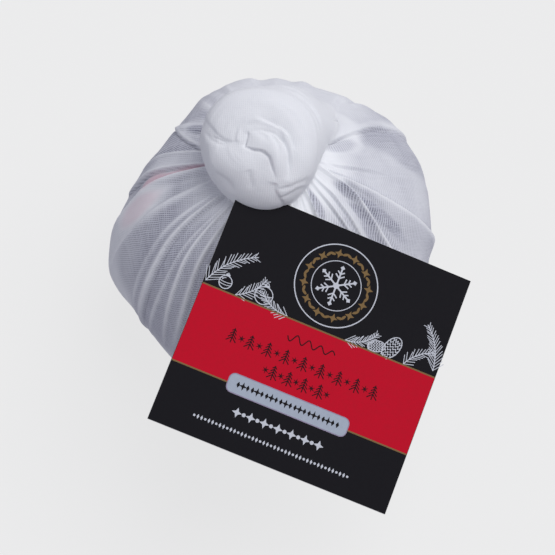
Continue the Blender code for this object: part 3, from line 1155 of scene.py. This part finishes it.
def weave_group():
    """Open plain weave: threads both ways, uneven in spacing and thickness.

    Threads in metres of cloth; puts out where there is thread, and how high it stands.
    """
    group, given, result = new_group(
        "open weave", {"Cloth": "Vector", "Pitch": "Float"}, {"Thread": "Float", "Height": "Float"}
    )
    cloth = given["Cloth"]
    wander = add_node(group, "TexNoise", in_Vector=cloth, in_Scale=260.0, in_Detail=2.0)
    drift = add_node(group, "VectorMath", operation="MULTIPLY_ADD")
    for socket, value in zip(drift.inputs, (wander.outputs["Color"], THREAD_WANDER, cloth)):
        feed(group, value, socket)
    apart = add_node(group, "SeparateXYZ", in_Vector=drift.outputs[0])
    threads = []
    # Each way: its axis, how its thick places are drawn out, and how strongly it shows
    for axis, stretch, weight in ((0, (900, 120, 1), 1.0), (1, (120, 900, 1), 0.4)):
        turns = figured(group, "DIVIDE", apart.outputs[axis], given["Pitch"])
        wave = figured(group, "COSINE", figured(group, "MULTIPLY", turns, 2 * math.pi))
        slub = add_node(group, "Mapping", in_Vector=cloth, in_Scale=stretch)
        uneven = grain(group, slub.outputs[0], 1.0, 1.0)
        thick = figured(group, "MULTIPLY_ADD", uneven, 1.1, -0.55)
        threads.append(figured(group, "MULTIPLY_ADD", wave, weight, thick))
    upper = figured(group, "MAXIMUM", *threads)
    mask = add_node(
        group, "MapRange", interpolation_type="SMOOTHSTEP",
        in_Value=upper, in_From_Min=-0.35, in_From_Max=0.75,
    )
    feed(group, mask.outputs[0], result["Thread"])
    feed(group, upper, result["Height"])
    return group


def lint_group():
    """Fine cotton fibres and the slight unevenness of bleached cloth."""
    group, given, result = new_group(
        "cotton lint", {"Place": "Vector"}, {"Cloudiness": "Float", "Fibres": "Float"}
    )
    feed(group, grain(group, given["Place"], 90.0, 3.0, 0.4), result["Cloudiness"])
    feed(group, grain(group, given["Place"], 1500.0, 3.0, 1.5), result["Fibres"])
    return group


def muslin_shader(name, lint, open_weave):
    """The parts of a muslin material that the cloth and the bun share."""
    material, tree, shader = new_material(
        name, Specular_IOR_Level=0.15, Subsurface_Weight=0.3, Subsurface_Radius=(1, 1, 1),
        Subsurface_Scale=1.2 * MM, Sheen_Weight=0.12, Sheen_Roughness=0.6,
    )
    place, cloth = add_node(tree, "TexCoord"), add_node(tree, "UVMap")
    cotton = add_node(tree, "Group", node_tree=lint, in_Place=place.outputs["Object"])
    weave = add_node(
        tree, "Group", node_tree=open_weave, in_Cloth=cloth.outputs[0], in_Pitch=WEAVE_PITCH
    )
    rough = figured(tree, "MULTIPLY_ADD", cotton.outputs["Fibres"], 0.2, 0.78)
    feed_inputs(tree, shader, Roughness=rough)
    return material, tree, shader, cotton.outputs, weave.outputs


def muslin_material(lint, open_weave):
    """White muslin: open weave where it lies single, whiter where it is doubled; its masks also
    paint shade into one fold's valley and light onto the shaded left flank.
    """
    material, tree, shader, cotton, weave = muslin_shader("white muslin", lint, open_weave)
    doubled, thin, pink, gathered = (
        add_node(tree, "Attribute", attribute_name=mask).outputs["Fac"]
        for mask in ("doubled", "thin", "pink", "gathered")
    )
    # The gaps darken where the cloth is thinnest, and in one fold's valley as painted shade.
    single = mixed(tree, weave["Thread"], mixed(tree, thin, BETWEEN, THIN_AND_SHADED_BETWEEN), THREAD)
    many = figured(tree, "MAXIMUM", doubled, gathered)
    uneven = figured(tree, "MULTIPLY_ADD", cotton["Cloudiness"], 0.5, -0.25)
    many = figured(tree, "ADD", many, uneven, clamp=True)
    # The whitening also paints light onto the shaded left flank low down.
    white = mixed(tree, many, single, WHITE_LAYERS)
    colour = mixed(tree, figured(tree, "MULTIPLY", pink, 0.6), white, PINK)
    open_cloth = figured(tree, "SUBTRACT", 1.0, many)
    height = figured(tree, "MULTIPLY_ADD", weave["Height"], open_cloth, cotton["Fibres"])
    relief = embossed(tree, height, 0.5, 0.06 * MM)
    feed_inputs(tree, shader, Base_Color=colour, Normal=relief)
    return material


def wound_muslin_material(lint, open_weave):
    """The same cloth wound up thick, where its weave hardly shows."""
    material, tree, shader, cotton, weave = muslin_shader("muslin wound thick", lint, open_weave)
    shade = mixed(tree, cotton["Cloudiness"], WOUND_SHADE, WHITE_LAYERS)
    gap = figured(tree, "MULTIPLY_ADD", weave["Thread"], -0.14, 0.14)
    height = figured(tree, "MULTIPLY_ADD", weave["Height"], 0.5, cotton["Fibres"])
    relief = embossed(tree, height, 0.6, 0.10 * MM)
    feed_inputs(tree, shader, Base_Color=mixed(tree, gap, shade, THREAD), Normal=relief)
    return material


def ink_material(name, colour, roughness):
    """Printing ink: satin, slightly mottled where it lies on the board's fibres."""
    material, tree, shader = new_material(name, Specular_IOR_Level=0.06)
    mottle = grain(tree, add_node(tree, "TexCoord").outputs["Object"], 900.0, 3.0)
    deep, light = ([c * share for c in colour] + [1] for share in (0.92, 1.08))
    rough = figured(tree, "MULTIPLY_ADD", mottle, 0.12, roughness - 0.06)
    feed_inputs(tree, shader, Base_Color=mixed(tree, mottle, deep, light), Roughness=rough)
    return material


def board_material():
    """Uncoated pale board: the card's back and its cut edges."""
    material, tree, shader = new_material("pale board", Specular_IOR_Level=0.2)
    fibre = grain(tree, add_node(tree, "TexCoord").outputs["Object"], 700.0, 5.0, 1.0)
    colour = mixed(tree, fibre, BOARD, BOARD_FIBRE)
    rough = figured(tree, "MULTIPLY_ADD", fibre, 0.2, 0.7)
    relief = embossed(tree, fibre, 0.3, 0.03 * MM)
    feed_inputs(tree, shader, Base_Color=colour, Roughness=rough, Normal=relief)
    return material


# ================================================================ stage
def floor():
    """The pale ground, lit from within so that it stays even."""
    bpy.ops.object.select_all(action="DESELECT")
    bpy.ops.mesh.primitive_plane_add(size=FLOOR_SIDE, location=(0, 0, 0))
    piece = bpy.context.object
    piece.name = "floor"
    material, _, _ = new_material(
        "pale floor", Base_Color=FLOOR_COLOUR, Roughness=1.0, Specular_IOR_Level=0.0,
        Emission_Color=(1, 1, 1, 1), Emission_Strength=FLOOR_GLOW,
    )
    piece.data.materials.append(material)
    piece.visible_diffuse = False


def lights():
    """A broad window high on the right, and a pale room around."""
    sun = bpy.data.lights.new("window", "SUN")
    sun.energy = SUN_STRENGTH
    sun.angle = math.radians(SUN_WIDTH)
    lamp = bpy.data.objects.new("window", sun)
    lamp.rotation_euler = SUN_FROM.to_track_quat("Z", "Y").to_euler()
    bpy.context.scene.collection.objects.link(lamp)
    world = bpy.data.worlds.new("studio")
    world.use_nodes = True
    sky = world.node_tree.nodes["Background"]
    feed_inputs(world.node_tree, sky, Color=SKY_COLOUR, Strength=SKY_STRENGTH)
    bpy.context.scene.world = world


def camera():
    """Looks down at the ball from in front."""
    tilt = math.radians(VIEW_HEIGHT)
    right = Vector((1, 0, 0))
    up = Vector((0, math.sin(tilt), math.cos(tilt)))
    back = Vector((0, -math.cos(tilt), math.sin(tilt)))
    middle = Vector((0, 0, BALL_HEIGHT))
    lens = bpy.data.cameras.new("camera")
    lens.lens = VIEW_LENS
    lens.sensor_width = VIEW_SENSOR
    view = bpy.data.objects.new("camera", lens)
    view.location = middle + right * VIEW_ASIDE - up * VIEW_BELOW + back * VIEW_DISTANCE
    view.rotation_euler = (math.radians(90 - VIEW_HEIGHT), 0, 0)
    bpy.context.scene.collection.objects.link(view)
    bpy.context.scene.camera = view


def main():
    """Makes every piece and lays it in the frame."""
    bpy.context.scene.view_settings.view_transform = "Standard"
    camera()
    lights()
    floor()
    cotton = lint_group(), weave_group()
    wrap, bun = muslin_wrap(), muslin_bun()
    melt_together(wrap, bun)
    for piece, finish in ((wrap, muslin_material(*cotton)), (bun, wound_muslin_material(*cotton))):
        piece.data.materials.clear()
        piece.data.materials.append(finish)
        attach(piece, "root")
        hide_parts("wrapped_pudding")
    for piece in card_pieces():
        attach(piece, "root")
        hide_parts("label_card")


main()
